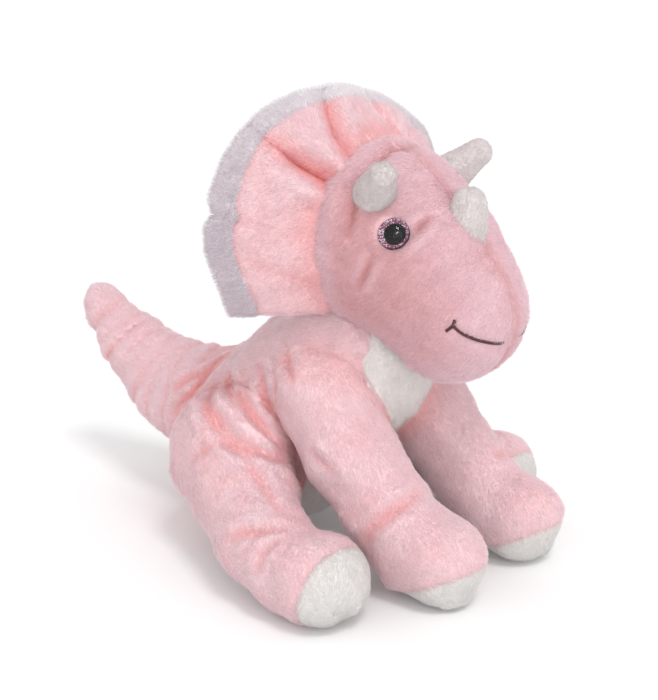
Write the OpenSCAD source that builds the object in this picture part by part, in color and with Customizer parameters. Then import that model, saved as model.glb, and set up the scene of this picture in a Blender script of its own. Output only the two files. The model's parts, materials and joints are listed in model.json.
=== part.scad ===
// Stuffed toy triceratops in a seated pose, in millimetres.
// It looks along -Y, +Z is up, and the origin is on the floor under the middle of its box.

/* [Cloth] */
// Thickness of the plush cloth with its pile
cloth_t = 3; // [2:0.5:4]
// Gap left between one piece of the toy and the next
seam_gap = 0.1; // [0.05:0.05:0.2]
// Gap between a limb and the hollow in the body that it turns in
joint_gap = 0.5; // [0.4:0.1:0.8]

/* [Torso] */
// Radius of the round rump
rump_r = 48; // [46:0.5:50]
// Height of the rump's centre over the floor
rump_z = 45; // [43:0.5:46]
// Radius at the top of the chest
chest_r = 36; // [34:0.5:38]
// Length of the spine from the rump's centre to the chest
spine_l = 72; // [70:1:76]
// Lean of the spine towards the front, from upright
spine_lean = 42; // [40:1:44]
// Half of the width of the white belly panel
belly_half_w = 21; // [18:1:24]
// Radius of the pouch of pellets in the rump
pouch_r = 18; // [15:1:19]

/* [Head] */
// Radius of the cranium
cranium_r = 45; // [43:0.5:46]
// Radius of the muzzle
muzzle_r = 35.5; // [34:0.5:36]
// Radius of the ball of stuffing in the neck
neck_r = 25; // [22:0.5:26]
// Diameter of an eye
eye_d = 15; // [13:0.5:16]

/* [Frill] */
// Radius of the frill's outer edge
frill_r = 80; // [76:1:82]
// Thickness of the padded frill
frill_t = 12; // [10:0.5:14]
// Backward slope of the frill
frill_slope = 35; // [32:1:38]
// Width of the white border seen from the front
border_w = 9; // [6:1:12]

/* [Horns] */
// Radius of a brow horn at its base
brow_horn_r = 11; // [9:0.5:12]
// Radius of the nose horn at its base
nose_horn_r = 11; // [9:0.5:12]

/* [Limbs] */
// Radius of the round top of a front leg
shoulder_r = 26; // [24:0.5:27]
// Radius of the round top of a rear leg
hip_r = 33; // [30:0.5:34]
// Radius of the round root of the tail
tail_root_r = 32; // [29:0.5:33]
// Radius of a front foot
front_foot_r = 22.5; // [21:0.5:23.5]
// Radius of a rear foot
rear_foot_r = 22; // [20:0.5:23]

/* [Hidden] */
$fn = 48;
big = 400;

// Fabric colours
pink = "#f3bcc3";
dusty_pink = "#e3b4b6";
white_plush = "#e9e6e4";
fibre = "#f5f3ee";

// Landmarks, each [x, y, z]
rump = [0, 2, rump_z];
neck = [0, -60, 122];
cranium = [0, -66, 164];
muzzle = [0, -106, 142];
shoulder = [-36, -60, 80];
front_ankle = [-35, -102, 33];
front_toe = [-34, -121, 21.5];
hip = [-46, -6, 47];
rear_ankle = [-80, -56, 24.5];
rear_toe = [-88, -92, 21];
tail_root = [0, 42, 60];
tail_middle = [0, 110, 82];
tail_tip = [0, 136, 98];
eye_point = [-35, -96, 175.5];

// Travel in degrees: both limits and one step between them
front_swing = [-18, -4, 10];
rear_swing = [-15, -2, 12];
tail_sway = [-20, 0, 20];
neck_slope = 14;

// Radii along the limbs, from the body outwards
front_r = [24, 22];
rear_r = [28, 24];
tail_r = [29, 19, 10.5];

// Turns local +Z onto the direction v
module along(v) {
    rotate([0, acos(v[2] / norm(v)), atan2(v[1], v[0])]) children();
}

// Round tapered bar from p to q
module taper(p, q, r1, r2) {
    translate(p) along(q - p) cylinder(h = norm(q - p), r1 = r1, r2 = r2);
}

// Torso: round sections along a leaning spine; grow moves the whole surface outwards
function on_spine(s) = rump + s * [0, -sin(spine_lean), cos(spine_lean)];
module torso_solid(grow) {
    spine = [0, 0.5, 1];
    radii = [rump_r, (rump_r + chest_r) / 2 + 2.5, chest_r];
    for (i = [0, 1]) hull() {
        for (k = [i, i + 1]) translate(on_spine(spine_l * spine[k])) soft_ball(radii[k] + grow);
    }
}
module soft_ball(r) {
    sphere(r = r, $fn = 36);
}

// Everything below the neck's sloping rim and above height z
module below_neck(z) {
    intersection() {
        translate([0, 0, z]) cylinder(h = big, r = big);
        rim_h = 200;
        translate(neck - [0, 0, rim_h]) cylinder(h = rim_h, r1 = rim_h / tan(neck_slope), r2 = 0);
    }
}

// Solid shapes of the limbs on the right side, grown by grow
module front_leg_solid(grow) {
    translate(shoulder) sphere(r = shoulder_r + grow);
    front_leg_bar(grow);
    translate(front_ankle) sphere(r = front_r[1] + 0.6 + grow);
    taper(front_ankle, front_toe, front_r[1] - 0.5 + grow, front_foot_r - 0.8 + grow);
    translate(front_toe) sphere(r = front_foot_r + grow);
}
module front_leg_bar(grow) {
    taper(shoulder, front_ankle, front_r[0] + grow, front_r[1] + grow);
}
module rear_leg_solid(grow) {
    translate(hip) sphere(r = hip_r + grow);
    rear_leg_bar(grow);
    translate(rear_ankle) sphere(r = rear_r[1] + 0.8 + grow);
    taper(rear_ankle, rear_toe, rear_r[1] - 0.5 + grow, rear_foot_r - 0.8 + grow);
    translate(rear_toe) sphere(r = rear_foot_r + grow);
}
module rear_leg_bar(grow) {
    taper(hip, rear_ankle, rear_r[0] + grow, rear_r[1] + grow);
}
module tail_solid(grow) {
    translate(tail_root) sphere(r = tail_root_r + grow);
    tail_bar(grow);
    translate(tail_middle) sphere(r = tail_r[1] + 0.6 + grow);
    taper(tail_middle, tail_tip, tail_r[1] - 0.5 + grow, tail_r[2] - 0.5 + grow);
    translate(tail_tip) sphere(r = tail_r[2] + grow);
}
module tail_bar(grow) {
    taper(tail_root, tail_middle, tail_r[0] + grow, tail_r[1] + grow);
}

// Room in the torso for a limb with a round root at p that turns on the axis v by the given steps
module limb_room(p, v, steps, root_r) {
    translate(p) soft_ball(root_r + joint_gap);
    for (i = [0, 1]) hull() {
        for (a = [steps[i], steps[i + 1]]) translate(p) rotate(a, v) translate(-p) children();
    }
}
module torso_hollows() {
    $fn = 32;
    play = joint_gap + 0.3;
    both_sides() {
        limb_room(shoulder, [1, 0, 0], front_swing, shoulder_r + 0.2) front_leg_bar(play);
        limb_room(hip, [-1, 0, 0], rear_swing, hip_r + 0.2) rear_leg_bar(play);
    }
    limb_room(tail_root, [0, 0, 1], tail_sway, tail_root_r + 0.2) tail_bar(play);
    translate(neck) soft_ball(neck_r + joint_gap + 0.2);
}
module both_sides() {
    for (side = [0, 1]) mirror([side, 0, 0]) children();
}

// Shell of the torso, before it is divided into the side panels and the belly panel
module torso_shell() {
    difference() {
        intersection() {
            torso_solid(0);
            below_neck(0);
        }
        intersection() {
            torso_solid(-cloth_t);
            translate([0, 0, cloth_t]) cylinder(h = big, r = big);
        }
        torso_hollows();
    }
}
module belly_zone(half_w) {
    zone_start = -20;
    translate(rump) rotate([spine_lean, 0, 0])
        translate([-half_w, -big, zone_start])
            cube([2 * half_w, big, big]);
}
module torso_skin() {
    color(pink) difference() {
        torso_shell();
        belly_zone(belly_half_w + seam_gap / 2);
    }
}
module belly_panel() {
    color(white_plush) intersection() {
        torso_shell();
        belly_zone(belly_half_w - seam_gap / 2);
    }
}
module torso_stuffing() {
    color(fibre) difference() {
        intersection() {
            torso_solid(-cloth_t - seam_gap);
            below_neck(cloth_t + seam_gap);
        }
        torso_hollows();
        pellet_ball(seam_gap);
    }
}
module pellet_ball(grow) {
    translate([0, -4, cloth_t + pouch_r + 3]) sphere(r = pouch_r + grow);
}
module pellet_pouch() {
    color("#cfc8bd") pellet_ball(0);
}

// Ladder stitches that close the middle back seam
module closing_stitches() {
    thread_r = 0.5;
    stitch_l = 6;
    stitch_pitch = 4;
    back_taper = 0.09;
    color(pink) translate(rump) rotate([spine_lean, 0, 0])
        for (up = [5 * stitch_pitch : stitch_pitch : 10 * stitch_pitch])
            translate([-stitch_l / 2, rump_r - back_taper * up + thread_r, up])
                rotate([0, 90, 0]) cylinder(h = stitch_l, r = thread_r);
}

// Ball of stuffing that the head turns and nods on
module neck_stuffing() {
    color(fibre) translate(neck) sphere(r = neck_r);
}

// Head as one turned shape from the back of the cranium to the muzzle
head_l = norm(muzzle - cranium);
head_taper = asin((cranium_r - muzzle_r) / head_l);
function head_outline(grow) = concat(
    [for (a = [-90 : 15 : head_taper]) (cranium_r + grow) * [cos(a), sin(a)]],
    [for (a = [head_taper : 12 : 89]) [(muzzle_r + grow) * cos(a), head_l + (muzzle_r + grow) * sin(a)]],
    [[0, head_l + muzzle_r + grow]]
);
module head_solid(grow) {
    translate(cranium) along(muzzle - cranium) rotate_extrude() polygon(head_outline(grow));
}
module neck_opening() {
    opening_r = 33;
    translate(neck) sphere(r = neck_r + joint_gap);
    translate(neck + [0, 0, joint_gap - 60]) cylinder(h = 60, r = opening_r);
}
module eye_frame() {
    eye_out = [-35, -11, 22];
    translate(eye_point) along(eye_out) children();
}
module eye_pocket(grow) {
    pocket_h = 20;
    eye_frame() translate([0, 0, -eye_base_t - grow]) cylinder(h = pocket_h, d = eye_d + 2 * grow);
    eye_frame() translate([0, 0, -shank_l - grow]) cylinder(h = shank_l, d = shank_d + 2 * grow);
}
module head_skin() {
    color(dusty_pink) difference() {
        head_solid(0);
        head_solid(-cloth_t);
        neck_opening();
        both_sides() eye_pocket(seam_gap);
    }
}
module head_stuffing() {
    color(fibre) difference() {
        head_solid(-cloth_t - seam_gap);
        neck_opening();
        both_sides() {
            eye_pocket(seam_gap);
            eye_frame() translate([0, 0, washer_z - seam_gap])
                cylinder(h = washer_t + 2 * seam_gap, d = washer_d + 1);
        }
    }
}

// Safety eye: lens, glitter iris, pupil, shank with its disc, and lock washer
eye_base_t = 1.6;
iris_t = 0.5;
lens_h = 4.6;
pupil_d = 8.6;
shank_l = 15;
shank_d = 4.2;
washer_t = 1.8;
washer_d = 13;
washer_z = -9;
module eye_lens() {
    lens_base = iris_t + seam_gap;
    lens_r = (eye_d * eye_d / 4 + lens_h * lens_h) / (2 * lens_h);
    color("#dfe4ea") intersection() {
        translate([0, 0, lens_base + lens_h - lens_r]) sphere(r = lens_r);
        translate([0, 0, lens_base]) cylinder(h = lens_h + 1, d = eye_d + 2);
    }
}
module eye_iris() {
    color("#b0688a") difference() {
        cylinder(h = iris_t, d = eye_d - 0.4);
        translate([0, 0, -1]) cylinder(h = iris_t + 2, d = pupil_d + seam_gap);
    }
}
module eye_pupil() {
    color("#141417") cylinder(h = iris_t, d = pupil_d);
}
module eye_shank() {
    color("#2b2b2e") {
        translate([0, 0, -eye_base_t]) cylinder(h = eye_base_t - seam_gap, d = eye_d);
        translate([0, 0, -shank_l]) cylinder(h = shank_l - eye_base_t / 2, d = shank_d);
    }
}
module eye_washer() {
    color("#e8e8e6") translate([0, 0, washer_z]) difference() {
        cylinder(h = washer_t, d = washer_d);
        translate([0, 0, -1]) cylinder(h = washer_t + 2, d = shank_d + 0.1);
    }
}

// Embroidered smile, a round thread that follows the muzzle from cheek to cheek
module mouth_stitching() {
    thread_r = 0.9;
    smile_tilt = 51;
    smile_offset = 9.4;
    smile_half = 62;
    clearance = 0.05;
    smile_r = sqrt(muzzle_r * muzzle_r - smile_offset * smile_offset) + thread_r + clearance;
    color("#6b1f33") translate(muzzle) rotate([smile_tilt, 0, 0])
        translate([0, 0, smile_offset]) rotate([0, 0, -90 - smile_half])
            rotate_extrude(angle = 2 * smile_half) translate([smile_r, 0]) circle(r = thread_r);
}

// Frill: a padded collar that slopes back from the seam round the head
frill_seam = [0, -53, 165];
frill_seam_r = 41;
frill_centre_z = 154;
frill_hem_z = 139;
frill_reach = 60;
frill_run = frill_reach * cos(frill_slope);
frill_rise = frill_reach * sin(frill_slope);
frill_under_head = 7;
frill_inner_r = frill_seam_r - frill_under_head;
frill_drop = frill_under_head * tan(frill_slope);
module frill_band(inset, outer_r) {
    depth = frill_t / cos(frill_slope);
    intersection() {
        translate(frill_seam) rotate([-90, 0, 0]) rotate_extrude() polygon([
            [frill_inner_r, inset - frill_drop],
            [frill_seam_r + frill_run, frill_rise + inset],
            [frill_seam_r + frill_run, frill_rise + depth - inset],
            [frill_inner_r, depth - inset - frill_drop]
        ]);
        translate([0, -big / 2, frill_centre_z]) rotate([-90, 0, 0]) cylinder(h = big, r = outer_r);
        translate([-big / 2, -big / 2, frill_hem_z + inset]) cube([big, big, big]);
    }
}
module frill_front_slab(t, outer_r) {
    ahead = 1;
    intersection() {
        translate(frill_seam) rotate([-90, 0, 0]) rotate_extrude() polygon([
            [frill_inner_r, -ahead - frill_drop],
            [frill_seam_r + frill_run, frill_rise - ahead],
            [frill_seam_r + frill_run, frill_rise + t],
            [frill_inner_r, t - frill_drop]
        ]);
        translate([0, -big / 2, frill_centre_z]) rotate([-90, 0, 0]) cylinder(h = big, r = outer_r);
    }
}
module frill_wadding() {
    color(fibre) difference() {
        frill_band(cloth_t + seam_gap, frill_r - cloth_t - seam_gap);
        head_solid(seam_gap);
    }
}
module frill_front_panel() {
    color(pink) difference() {
        intersection() {
            frill_band(0, frill_r);
            frill_front_slab(cloth_t, frill_r - border_w);
        }
        head_solid(seam_gap);
    }
}
module frill_back_panel() {
    color(white_plush) difference() {
        frill_band(0, frill_r);
        frill_band(cloth_t, frill_r - cloth_t);
        frill_front_slab(cloth_t + seam_gap, frill_r - border_w + seam_gap);
        head_solid(seam_gap);
    }
}

// Horns: stubby turned cones with a round tip, sewn onto the head
module horn_solid(p, q, r1, r2, grow) {
    taper(p, q, r1 + grow, r2 + 0.3 + grow);
    translate(q) sphere(r = r2 + 0.8 + grow);
}
module horn_skin(p, q, r1, r2, wall) {
    color(white_plush) difference() {
        horn_solid(p, q, r1, r2, 0);
        horn_solid(p, q, r1, r2, -wall);
        head_solid(seam_gap);
    }
}
module horn_filling(p, q, r1, r2, wall) {
    color(fibre) difference() {
        horn_solid(p, q, r1, r2, -wall - seam_gap);
        head_solid(seam_gap);
    }
}
horn_wall = 2;
brow_base = [-26, -77, 187];
brow_tip = [-39, -93, 204];
brow_tip_r = 5;
nose_base = [0, -111, 168];
nose_tip = [0, -115, 192];
nose_tip_r = 6;
module brow_horn() {
    horn_skin(brow_base, brow_tip, brow_horn_r, brow_tip_r, horn_wall);
}
module brow_horn_stuffing() {
    horn_filling(brow_base, brow_tip, brow_horn_r, brow_tip_r, horn_wall);
}
module nose_horn() {
    horn_skin(nose_base, nose_tip, nose_horn_r, nose_tip_r, horn_wall);
}
module nose_horn_stuffing() {
    horn_filling(nose_base, nose_tip, nose_horn_r, nose_tip_r, horn_wall);
}

// Soles: the white part of each foot lies beyond a sloping plane
front_sole_tilt = -32;
front_sole_point = [0, -134, 13];
rear_sole_tilt = -75;
rear_sole_point = [0, -104, 18];
module beyond(p, tilt) {
    translate(p) rotate([tilt, 0, 0]) translate([-big / 2, -big / 2, -big]) cube([big, big, big]);
}
module above_floor(z) {
    translate([0, 0, z]) cylinder(h = big, r = big);
}
module leg_shell(front) {
    difference() {
        intersection() {
            if (front) front_leg_solid(0);
            else rear_leg_solid(0);
            above_floor(0);
        }
        intersection() {
            if (front) front_leg_solid(-cloth_t);
            else rear_leg_solid(-cloth_t);
            above_floor(cloth_t);
        }
    }
}
module leg_filling(front) {
    color(fibre) intersection() {
        if (front) front_leg_solid(-cloth_t - seam_gap);
        else rear_leg_solid(-cloth_t - seam_gap);
        above_floor(cloth_t + seam_gap);
    }
}
module front_leg_skin() {
    color(pink) difference() {
        leg_shell(true);
        beyond(front_sole_point + [0, 0, seam_gap], front_sole_tilt);
    }
}
module front_sole() {
    color(white_plush) intersection() {
        leg_shell(true);
        beyond(front_sole_point, front_sole_tilt);
    }
}
module rear_leg_skin() {
    color(pink) difference() {
        leg_shell(false);
        beyond(rear_sole_point + [0, seam_gap, 0], rear_sole_tilt);
    }
}
module rear_sole() {
    color(white_plush) intersection() {
        leg_shell(false);
        beyond(rear_sole_point, rear_sole_tilt);
    }
}
module left() {
    mirror([1, 0, 0]) children();
}

// Tail
module tail_skin() {
    color(pink) difference() {
        tail_solid(0);
        tail_solid(-cloth_t);
    }
}
module tail_stuffing() {
    color(fibre) tail_solid(-cloth_t - seam_gap);
}

torso_skin();
belly_panel();
torso_stuffing();
pellet_pouch();
closing_stitches();
neck_stuffing();
head_skin();
head_stuffing();
mouth_stitching();
frill_front_panel();
frill_back_panel();
frill_wadding();
brow_horn();  // right_brow_horn
brow_horn_stuffing();  // right_brow_horn_stuffing
left() brow_horn();  // left_brow_horn
left() brow_horn_stuffing();  // left_brow_horn_stuffing
nose_horn();
nose_horn_stuffing();
eye_frame() eye_lens();  // right_eye_lens
eye_frame() eye_iris();  // right_eye_iris
eye_frame() eye_pupil();  // right_eye_pupil
eye_frame() eye_shank();  // right_eye_shank
eye_frame() eye_washer();  // right_eye_washer
left() eye_frame() eye_lens();  // left_eye_lens
left() eye_frame() eye_iris();  // left_eye_iris
left() eye_frame() eye_pupil();  // left_eye_pupil
left() eye_frame() eye_shank();  // left_eye_shank
left() eye_frame() eye_washer();  // left_eye_washer
front_leg_skin();  // right_front_leg
front_sole();  // right_front_sole
leg_filling(true);  // right_front_stuffing
left() front_leg_skin();  // left_front_leg
left() front_sole();  // left_front_sole
left() leg_filling(true);  // left_front_stuffing
rear_leg_skin();  // right_rear_leg
rear_sole();  // right_rear_sole
leg_filling(false);  // right_rear_stuffing
left() rear_leg_skin();  // left_rear_leg
left() rear_sole();  // left_rear_sole
left() leg_filling(false);  // left_rear_stuffing
tail_skin();
tail_stuffing();
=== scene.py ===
"""Stuffed toy triceratops: sewn plush skins with a real pile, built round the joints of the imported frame.

Shapes are worked out in millimetres as distance fields, and each skin piece is its own closed mesh in metres.
"""

import json
import math

import bpy
import numpy as np
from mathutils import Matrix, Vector


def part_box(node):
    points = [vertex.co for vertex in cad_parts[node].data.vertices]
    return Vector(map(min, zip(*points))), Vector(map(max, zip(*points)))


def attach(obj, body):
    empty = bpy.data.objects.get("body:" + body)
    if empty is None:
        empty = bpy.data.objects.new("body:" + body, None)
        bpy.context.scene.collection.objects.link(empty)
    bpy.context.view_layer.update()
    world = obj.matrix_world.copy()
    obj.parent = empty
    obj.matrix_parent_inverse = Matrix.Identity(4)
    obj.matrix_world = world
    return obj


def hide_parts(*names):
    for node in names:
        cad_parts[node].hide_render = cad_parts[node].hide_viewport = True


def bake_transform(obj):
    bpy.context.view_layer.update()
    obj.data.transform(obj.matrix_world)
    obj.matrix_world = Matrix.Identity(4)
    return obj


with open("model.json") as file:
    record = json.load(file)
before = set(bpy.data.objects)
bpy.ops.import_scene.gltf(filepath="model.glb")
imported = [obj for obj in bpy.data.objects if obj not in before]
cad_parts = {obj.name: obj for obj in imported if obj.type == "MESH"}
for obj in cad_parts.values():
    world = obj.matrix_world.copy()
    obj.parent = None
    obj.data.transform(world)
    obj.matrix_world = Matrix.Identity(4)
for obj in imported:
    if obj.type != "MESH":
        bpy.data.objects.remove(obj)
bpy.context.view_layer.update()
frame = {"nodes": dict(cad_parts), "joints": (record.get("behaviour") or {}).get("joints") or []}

MM = 0.001
PILE_ROOM = 1.5  # the cloth lies this far under the outside of the pile
CHAIN_BLEND = 6.0  # how softly the bars of one limb run into each other
SEAM_BLEND = 7.0  # how softly two sewn parts run into each other
SEAM_LAP = 0.5  # how far the pink and the white cloth reach past their seam
WALL = SEAM_BLEND / 4 + 0.1  # how far a skin reaches past the smooth outline of its own part
SKIN_REACH = 12  # creases are worked out only this near the surface
REST_HEIGHT = 0.8  # the cloth that lies on the floor, under its pile
DRAWN_IN = (5, 13)  # the left rear foot lies this much further in and back than the right one
CELL = 1.6
HAIRS_PER_MM2 = 3.4


# ------------------------------ landmarks from the frame


def pivot(joint):
    return np.array([j["pos_m"] for j in frame["joints"] if j["name"] == joint][0]) / MM


def middle(node):
    low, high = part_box(node)
    return np.array((low + high) / 2) / MM


NECK = pivot("head_turn")
SHOULDER = pivot("right_front_leg_swing")
HIP = pivot("right_rear_leg_swing")
TAIL_ROOT = pivot("tail_sway")
MIRROR = np.array([-1.0, 1.0, 1.0])


def balls(start, offsets):
    """Balls of a limb as (x, y, z, radius), each placed from the landmark start.

    The soft blend swells a ball between two bars by a quarter of its width, so that much is taken off.
    """
    out = []
    for i, (x, y, z, r) in enumerate(offsets):
        swell = CHAIN_BLEND / 4 if 0 < i < len(offsets) - 1 else 0
        out.append((start[0] + x, start[1] + y, start[2] + z, r - PILE_ROOM - swell))
    return out


def mirrored(chain):
    return [(-x, y, z, r) for x, y, z, r in chain]


def drawn_in(chain):
    return [(x + DRAWN_IN[0], y + DRAWN_IN[1], z, r) for x, y, z, r in chain]


TORSO = balls(NECK, [(0, 62, -72, 49), (0, 41, -48, 44), (0, 15, -26, 41), (0, 1, -10, 34)])
TAIL = balls(TAIL_ROOT, [(0, -8, -8, 36), (0, 36, -1, 27), (0, 70, 16.5, 19.5), (0, 94, 37, 11.5)])
FRONT_RIGHT = balls(
    SHOULDER,
    [(4.5, 6.5, 8, 25.3), (2, -11.5, -18, 24.3), (1, -38, -44, 22.5), (2, -52, -56, 23), (2, -66, -58, 22.5)],
)
REAR_RIGHT = balls(
    HIP,
    [(4, 1, 4, 35.5), (-17, -22, -8, 27), (-34, -48, -19, 24), (-40, -70, -25, 22), (-42, -88, -26, 21)],
)
HEAD = balls(NECK, [(0, -6, 42, 46), (0, -27, 30, 41.5), (0, -42, 21.5, 33.5), (0, -47, 12, 35.2)])
LIMBS = {
    "tail": TAIL,
    "right_front_leg": FRONT_RIGHT,
    "left_front_leg": mirrored(FRONT_RIGHT),
    "right_rear_leg": REAR_RIGHT,
    "left_rear_leg": mirrored(REAR_RIGHT[:3] + drawn_in(REAR_RIGHT[3:])),
}


# ------------------------------ distance fields


def round_bar(points, start, end):
    """Distance from the points to the round bar between two balls."""
    a, b = np.array(start[:3]), np.array(end[:3])
    along = b - a
    length2 = along @ along
    shrink = start[3] - end[3]
    slant2 = length2 - shrink * shrink
    rel = points - a
    y = rel @ along
    z = y - length2
    x2 = ((rel * length2 - np.outer(y, along)) ** 2).sum(1)
    k = math.copysign(shrink * shrink, shrink) * x2
    at_end = np.sqrt(x2 + z * z * length2) / length2 - end[3]
    at_start = np.sqrt(x2 + y * y * length2) / length2 - start[3]
    side = (np.sqrt(x2 * slant2 / length2) + y * shrink) / length2 - start[3]
    past_end = np.sign(z) * slant2 * z * z * length2 > k
    before_start = np.sign(y) * slant2 * y * y * length2 < k
    return np.where(past_end, at_end, np.where(before_start, at_start, side))


def soft_min(a, b, k):
    h = np.maximum(k - np.abs(a - b), 0) / k
    return np.minimum(a, b) - h * h * k / 4


def soft_max(a, b, k):
    return -soft_min(-a, -b, k)


def chain_field(points, chain, k=CHAIN_BLEND):
    d = round_bar(points, chain[0], chain[1])
    for a, b in zip(chain[1:], chain[2:]):
        d = soft_min(d, round_bar(points, a, b), k)
    return d


def lumps(points, size, seed):
    """Smooth uneven stuffing, about -1 to 1."""
    rng = np.random.default_rng(seed)
    total = np.zeros(len(points))
    for _ in range(7):
        wave = rng.normal(size=3)
        wave *= rng.uniform(0.7, 1.4) * 2 * math.pi / (size * np.linalg.norm(wave))
        total += np.sin(points @ wave + rng.uniform(0, 6.28))
    return total / 3.5


def slope(field, points):
    """Gradient of a field by central differences."""
    h = 0.25
    steps = np.eye(3) * h
    return np.stack([(field(points + s) - field(points - s)) / (2 * h) for s in steps], 1)


def unit(vectors):
    return vectors / np.maximum(np.linalg.norm(vectors, axis=1), 1e-6)[:, None]


def settle(field, points, rounds=3):
    """Moves points onto the surface of a field."""
    for _ in range(rounds):
        g = slope(field, points)
        points = points - (field(points) / np.maximum((g * g).sum(1), 0.2))[:, None] * g
    return points


def on_right(points):
    """The points with those on the left mirrored to the right."""
    at = points.copy()
    at[:, 0] = -np.abs(at[:, 0])
    return at


def smooth_line(points):
    """A smooth run of points through the given ones."""
    step = 2.5
    p = np.array(points, float)
    p = np.vstack([2 * p[0] - p[1], p, 2 * p[-1] - p[-2]])
    out = []
    for i in range(1, len(p) - 2):
        n = max(int(np.linalg.norm(p[i + 1] - p[i]) / step), 1)
        for t in np.arange(n) / n:
            c = (-p[i - 1] + 3 * p[i] - 3 * p[i + 1] + p[i + 2]) * t**3
            c += (2 * p[i - 1] - 5 * p[i] + 4 * p[i + 1] - p[i + 2]) * t**2
            out.append((c + (p[i + 1] - p[i - 1]) * t + 2 * p[i]) / 2)
    return np.array(out + [p[-2]])


class Fold:
    """A crease pressed into a skin along a line, and along its mirror image, with a raised lip beside it."""

    def __init__(self, base, points, width, depth):
        self.line = settle(base, smooth_line(points))
        self.width, self.depth = width, depth

    def __call__(self, points):
        """How far the crease moves the surface inwards at each point."""
        at = on_right(points)
        out = np.zeros(len(points))
        low, high = self.line.min(0) - 4 * self.width, self.line.max(0) + 4 * self.width
        near = np.flatnonzero(((at > low) & (at < high)).all(1))
        if not len(near):
            return out
        p = at[near]
        best, place = np.full(len(p), 1e9), np.zeros(len(p))
        for i, (a, b) in enumerate(zip(self.line, self.line[1:])):
            t = np.clip((p - a) @ (b - a) / ((b - a) @ (b - a)), 0, 1)
            d = ((p - a - t[:, None] * (b - a)) ** 2).sum(1)
            closer = d < best
            best[closer], place[closer] = d[closer], (i + t)[closer]
        d = np.sqrt(best) / self.width
        place /= len(self.line) - 1
        fade = np.sin(math.pi * np.clip(place, 0, 1)) ** 0.6
        valley = np.exp(-(np.sqrt(d * d + 0.04) - 0.2) * 1.6)
        lip = np.exp(-(((d - 1.9) / 0.8) ** 2))
        out[near] = self.depth * fade * (valley - 0.35 * lip)
        return out


# ------------------------------ body


def torso_field(points):
    return chain_field(points, TORSO)


def limb_field(points, name):
    """Distance from a limb; a rear foot is wider than it is high."""
    d = chain_field(points, LIMBS[name])
    if name.endswith("rear_leg"):
        x, y, z, r = LIMBS[name][-1]
        inwards = -math.copysign(1, x)
        across = round_bar(points, (x - 2 * inwards, y, z, r), (x + 6 * inwards, y - 2, z, r - 0.5))
        d = soft_min(d, across, 4.0)
    return d


def smooth_body(points):
    """Body without creases, resting flat on the floor."""
    d = torso_field(points)
    for name in LIMBS:
        d = soft_min(d, limb_field(points, name), SEAM_BLEND)
    return soft_max(d, REST_HEIGHT - points[:, 2], 5.0)


# Creases of the body: points along each one, then its width and depth
BODY_CREASES = [
    # right flank, from the rump forwards
    ([(-42, 12, 88), (-59, 2, 81), (-66, -12, 75), (-68, -26, 69), (-60, -40, 62), (-48, -44, 58)], 4.0, 5.0),
    ([(-46, -8, 88), (-51, -18, 81), (-53, -26, 76), (-53, -35, 69), (-48, -42, 61)], 3.2, 3.6),
    ([(-38, -12, 100), (-42, -18, 95), (-45, -24, 86), (-45, -30, 76)], 3.0, 2.4),
    ([(-34, 12, 92), (-45, 2, 89), (-52, -8, 85), (-57, -17, 79)], 3.2, 2.2),
    ([(-38, -32, 108), (-48, -42, 105), (-55, -52, 101)], 3.5, 1.8),
    # thigh, knee and ankle of a rear leg
    ([(-82, 0, 52), (-79, -9, 61), (-72, -20, 68), (-71, -34, 64), (-76, -52, 55), (-84, -70, 47)], 3.4, 2.6),
    ([(-102, -50, 34), (-100, -58, 40), (-96, -68, 43), (-88, -77, 45)], 3.2, 2.6),
    ([(-107, -72, 24), (-104, -73, 34), (-95, -78, 42)], 2.8, 2.0),
    # front ankle and elbow
    ([(-58, -94, 28), (-58, -98, 34), (-54, -105, 44), (-43, -111, 50), (-30, -108, 50)], 3.4, 3.0),
    ([(-60, -62, 72), (-58, -70, 66), (-52, -80, 60)], 3.0, 1.2),
    # round the root of the tail
    ([(-6, 30, 97), (-20, 34, 91), (-30, 46, 80), (-34, 56, 68)], 3.4, 3.0),
    ([(-8, 22, 98), (-20, 26, 92), (-32, 36, 80), (-38, 46, 66), (-38, 50, 54)], 3.0, 2.4),
]
BODY_FOLDS = [Fold(smooth_body, *crease) for crease in BODY_CREASES]
# Gathers of the tail: distance along it, depth and width
TAIL_RINGS = [(20, 2.2, 3.2), (29, 1.2, 2.6), (38, 2.0, 3.4), (48, 1.0, 2.4), (57, 1.8, 3.0)]
TAIL_RINGS += [(68, 1.3, 2.6), (79, 1.7, 3.0), (92, 1.4, 2.6), (104, 1.2, 2.6)]


def along_chain(points, chain):
    """Distance along the middle line of a chain at each point."""
    best, out, done = np.full(len(points), 1e9), np.zeros(len(points)), 0.0
    for start, end in zip(chain, chain[1:]):
        a, b = np.array(start[:3]), np.array(end[:3])
        length = np.linalg.norm(b - a)
        t = np.clip((points - a) @ (b - a) / length**2, 0, 1)
        d = ((points - a - t[:, None] * (b - a)) ** 2).sum(1)
        closer = d < best
        best[closer], out[closer] = d[closer], (done + t * length)[closer]
        done += length
    return out


def tail_rings(points):
    """Gathers round the tail, each one tilted and uneven."""
    near = np.flatnonzero(points[:, 1] > 44)
    out = np.zeros(len(points))
    p = points[near]
    if not len(p):
        return out
    s = along_chain(p, TAIL)
    turn = np.arctan2(p[:, 0], p[:, 2] - TAIL_ROOT[2] - 0.5 * (p[:, 1] - TAIL_ROOT[1]))
    total = np.zeros(len(p))
    for i, (place, depth, width) in enumerate(TAIL_RINGS):
        shift = 3.0 * np.sin(turn + 1.7 * i) + 1.5 * np.sin(2 * turn + 2.3 * i)
        d = np.abs(s - place - shift) / width
        uneven = 0.65 + 0.35 * np.sin(turn + 2.9 * i)
        total += depth * uneven * (np.exp(-1.5 * d) - 0.3 * np.exp(-(((d - 1.8) / 0.8) ** 2)))
    out[near] = total
    return out


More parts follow.
